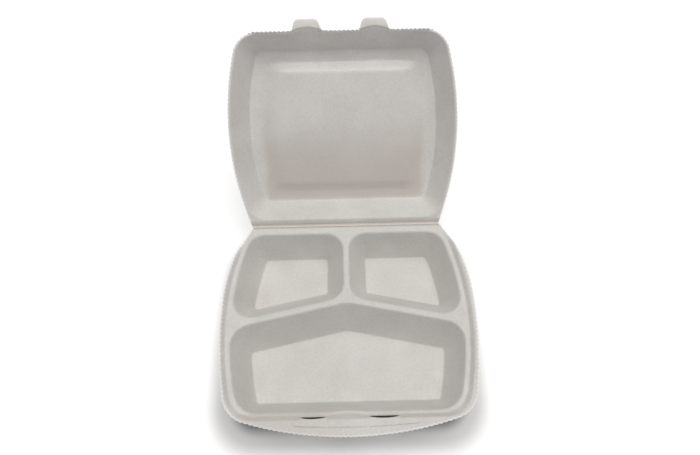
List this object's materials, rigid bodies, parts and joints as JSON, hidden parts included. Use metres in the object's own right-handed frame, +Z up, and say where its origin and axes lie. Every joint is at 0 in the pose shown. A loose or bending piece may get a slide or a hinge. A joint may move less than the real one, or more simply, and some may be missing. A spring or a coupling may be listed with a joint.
{
  "type": "three-compartment takeout container",
  "caption": "Hinged foam takeout box: a tray whose compartments are parted by a slanted divider, and a domed lid with locking tabs.",
  "frame": {"origin": "on the surface that the container stands on, under the tray's middle: on the centre line, half way from the hinge line to the front lip, on the underside of the large compartment", "axes": "+X along the hinge to the right, -Y from the hinge towards the front lip, +Z up; the lid stands open behind the tray"},
  "size_m": [0.236, 0.3405, 0.1873],
  "materials": {
    "foam": "matt white expanded foam with fine cells",
    "lid_foam": "matt white expanded foam with fine cells"
  },
  "bodies": {
    "tray": {"tray": "foam"},
    "lid": {"lid": "lid_foam"}
  },
  "joints": [
    {"name": "lid_hinge", "type": "hinge", "parent": "tray", "child": "lid", "pos_m": [0, 0.1005, 0.04415], "axis": [1, 0, 0], "range_deg": [-47, 131]}
  ]
}
